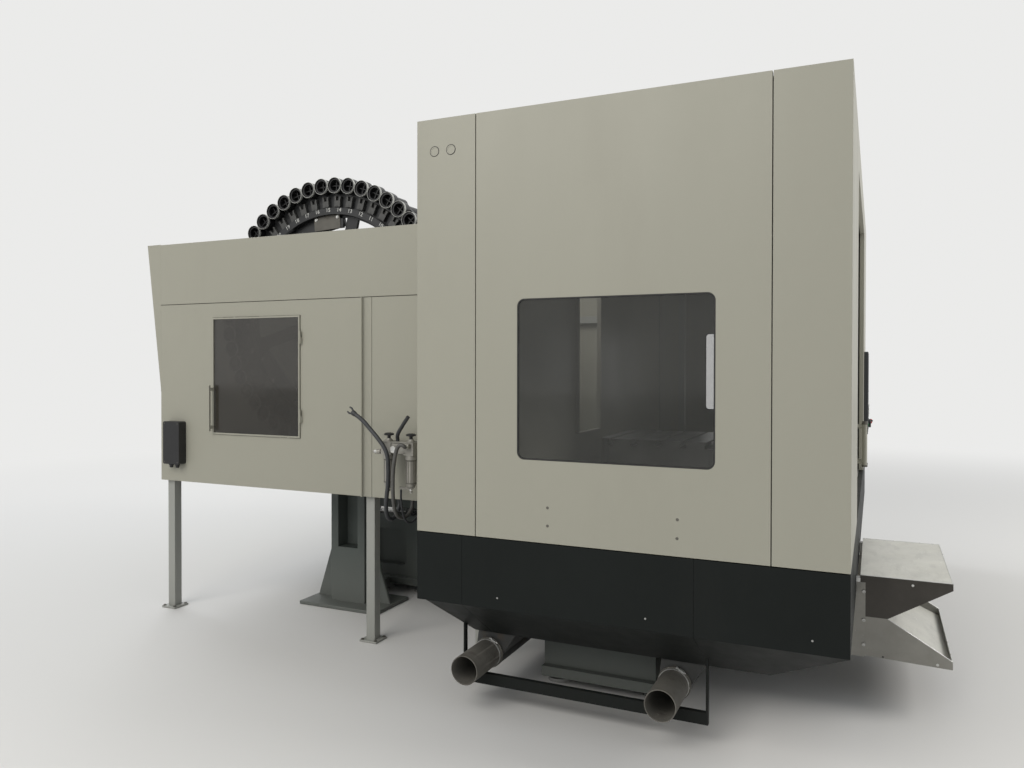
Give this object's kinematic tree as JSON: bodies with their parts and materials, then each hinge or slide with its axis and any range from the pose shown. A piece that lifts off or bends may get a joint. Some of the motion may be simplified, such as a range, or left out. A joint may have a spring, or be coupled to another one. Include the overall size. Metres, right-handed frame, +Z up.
{
  "type": "horizontal machining center",
  "caption": "Horizontal machining center: tall panelled enclosure on a dark sloped chip pan, lower tool changer enclosure with a large disc magazine, side windows and sliding front doors.",
  "frame": {"origin": "on the floor, under the middle of the tall machining enclosure", "axes": "+Z up, +X towards the machine's right side seen by its operator, +Y from the operator's front doors to the back"},
  "size_m": [4.3715, 4.913, 2.9057],
  "materials": {
    "wall_paint": "satin warm light grey enamel",
    "skirt_paint": "satin charcoal enamel",
    "frame_paint": "satin grey enamel",
    "bed_paint": "painted casting, satin grey green",
    "table_iron": "machined iron",
    "motor_paint": "semi-gloss blue grey",
    "magazine_paint": "satin black",
    "panel_paint": "fine-textured dark grey",
    "chute_paint": "worn satin grey",
    "tube_paint": "dull grey primer",
    "steel": "brushed",
    "ground_steel": "ground",
    "trough_steel": "dull, oiled",
    "cast_aluminium": "die cast, matt",
    "dark_glass": "tinted, clear",
    "seal_rubber": "matt black",
    "hose_rubber": "matt, dark",
    "black_plastic": "matt black",
    "collar_plastic": "matt light grey",
    "red_plastic": "gloss red",
    "green_plastic": "gloss green"
  },
  "bodies": {
    "machine": {"bed_casting": "bed_paint", "levelling_feet": "steel", "bed_rails": "ground_steel", "enclosure_frame": "frame_paint", "left_wall_panels": "wall_paint", "right_wall_panels": "wall_paint", "side_windows": "dark_glass", "window_seals": "seal_rubber", "front_panels": "wall_paint", "door_tracks": "steel", "roof_panels": "wall_paint", "back_wall": "wall_paint", "side_skirts": "skirt_paint", "end_skirts": "skirt_paint", "pan_floor": "skirt_paint", "auger_troughs": "trough_steel", "discharge_tubes": "tube_paint", "auger_motors": "motor_paint", "chip_chute": "chute_paint", "changer_frame": "frame_paint", "changer_wall": "wall_paint", "right_changer_wall": "wall_paint", "back_cover": "wall_paint", "junction_box": "black_plastic", "air_unit": "cast_aluminium", "air_hoses": "hose_rubber", "magazine_stand": "bed_paint", "changer_gearbox": "motor_paint", "electrical_cabinet": "wall_paint", "control_panel": "panel_paint"},
    "saddle": {"table_saddle": "bed_paint"},
    "table": {"rotary_table": "table_iron"},
    "column": {"column": "bed_paint"},
    "head": {"spindle_head": "bed_paint"},
    "spindle": {"spindle": "ground_steel"},
    "magazine": {"magazine_disc": "magazine_paint", "tool_pots": "black_plastic", "pot_collars": "collar_plastic", "waiting_tool_pot": "black_plastic"},
    "quill": {"arm_shaft": "ground_steel"},
    "double_arm": {"change_arm": "steel"},
    "transfer": {"transfer_arm": "steel"},
    "left_leaf": {"left_door": "wall_paint", "left_door_window": "dark_glass"},
    "right_leaf": {"right_door": "wall_paint", "right_door_window": "dark_glass"},
    "access_leaf": {"access_door": "wall_paint", "access_door_window": "dark_glass"},
    "cabinet_leaf": {"cabinet_door": "wall_paint"},
    "switch": {"disconnect_handle": "red_plastic"},
    "front_screw_conveyor": {"front_auger": "trough_steel"},
    "rear_screw_conveyor": {"rear_auger": "trough_steel"},
    "front_knob": {"front_air_knob": "black_plastic"},
    "rear_knob": {"rear_air_knob": "black_plastic"},
    "stop_button": {"emergency_stop": "red_plastic"},
    "start_button": {"cycle_start": "green_plastic"},
    "hand_wheel": {"jog_wheel": "black_plastic"},
    "table_screw": {"x_screw": "ground_steel"},
    "head_screw": {"y_screw": "ground_steel"},
    "column_screw": {"z_screw": "ground_steel"}
  },
  "joints": [
    {"name": "table_slide", "type": "slide", "parent": "machine", "child": "saddle", "axis": [1, 0, 0], "range_m": [-0.8, 0.8]},
    {"name": "table_turn", "type": "hinge", "parent": "saddle", "child": "table", "pos_m": [0, 0.24, 0.9], "axis": [0, 0, 1], "continuous": true},
    {"name": "column_slide", "type": "slide", "parent": "machine", "child": "column", "axis": [0, -1, 0], "range_m": [0, 0.7]},
    {"name": "head_slide", "type": "slide", "parent": "column", "child": "head", "axis": [0, 0, 1], "range_m": [-0.61, 0.19]},
    {"name": "spindle_turn", "type": "hinge", "parent": "head", "child": "spindle", "pos_m": [0, 1.3, 1.99], "axis": [0, 1, 0], "continuous": true},
    {"name": "magazine_turn", "type": "hinge", "parent": "machine", "child": "magazine", "pos_m": [-0.9, 2.29, 1.99], "axis": [1, 0, 0], "continuous": true},
    {"name": "quill_slide", "type": "slide", "parent": "machine", "child": "quill", "axis": [0, -1, 0], "range_m": [0, 0.115]},
    {"name": "arm_turn", "type": "hinge", "parent": "quill", "child": "double_arm", "pos_m": [-0.46, 1.09, 1.99], "axis": [0, 1, 0], "range_deg": [0, 180]},
    {"name": "transfer_swing", "type": "hinge", "parent": "machine", "child": "transfer", "pos_m": [-1.0845, 1.2605, 1.95], "axis": [0, 0, 1], "range_deg": [-90, 0]},
    {"name": "left_door_slide", "type": "slide", "parent": "machine", "child": "left_leaf", "axis": [-1, 0, 0], "range_m": [0, 0.96]},
    {"name": "right_door_slide", "type": "slide", "parent": "machine", "child": "right_leaf", "axis": [1, 0, 0], "range_m": [0, 0.96]},
    {"name": "access_hinge", "type": "hinge", "parent": "machine", "child": "access_leaf", "pos_m": [-1.493, 2.221, 1.5], "axis": [0, 0, 1], "range_deg": [0, 110]},
    {"name": "cabinet_hinge", "type": "hinge", "parent": "machine", "child": "cabinet_leaf", "pos_m": [1.9103, 1.296, 1.1], "axis": [0, 0, 1], "range_deg": [-110, 0]},
    {"name": "switch_turn", "type": "hinge", "parent": "cabinet_leaf", "child": "switch", "pos_m": [1.93, 2.419, 1.519], "axis": [1, 0, 0], "range_deg": [-90, 0]},
    {"name": "front_auger_turn", "type": "hinge", "parent": "machine", "child": "front_screw_conveyor", "pos_m": [0, -0.2, 0.21], "axis": [1, 0, 0], "continuous": true},
    {"name": "rear_auger_turn", "type": "hinge", "parent": "machine", "child": "rear_screw_conveyor", "pos_m": [0, 0.745, 0.21], "axis": [1, 0, 0], "continuous": true},
    {"name": "front_knob_turn", "type": "hinge", "parent": "machine", "child": "front_knob", "pos_m": [-1.585, 1.3585, 1.26], "axis": [0, 0, 1], "continuous": true},
    {"name": "rear_knob_turn", "type": "hinge", "parent": "machine", "child": "rear_knob", "pos_m": [-1.585, 1.5055, 1.26], "axis": [0, 0, 1], "continuous": true},
    {"name": "stop_press", "type": "slide", "parent": "machine", "child": "stop_button", "axis": [0, 1, 0], "range_m": [0, 0.005], "stiffness_N_per_m": 2000},
    {"name": "start_press", "type": "slide", "parent": "machine", "child": "start_button", "axis": [0, 1, 0], "range_m": [0, 0.003], "stiffness_N_per_m": 1000},
    {"name": "wheel_turn", "type": "hinge", "parent": "machine", "child": "hand_wheel", "pos_m": [1.56, -0.99, 1.2], "axis": [0, 1, 0], "continuous": true},
    {"name": "x_screw_turn", "type": "hinge", "parent": "machine", "child": "table_screw", "pos_m": [0, 0.24, 0.58], "axis": [1, 0, 0], "continuous": true},
    {"name": "y_screw_turn", "type": "hinge", "parent": "column", "child": "head_screw", "pos_m": [0, 1.765, 1.7], "axis": [0, 0, 1], "continuous": true},
    {"name": "z_screw_turn", "type": "hinge", "parent": "machine", "child": "column_screw", "pos_m": [0, 1.8, 0.58], "axis": [0, 1, 0], "continuous": true}
  ],
  "couplings": [
    {"joint": "x_screw_turn", "follows": "table_slide", "rad_per_m": -251.33},
    {"joint": "y_screw_turn", "follows": "head_slide", "rad_per_m": -251.33},
    {"joint": "z_screw_turn", "follows": "column_slide", "rad_per_m": 251.33}
  ]
}
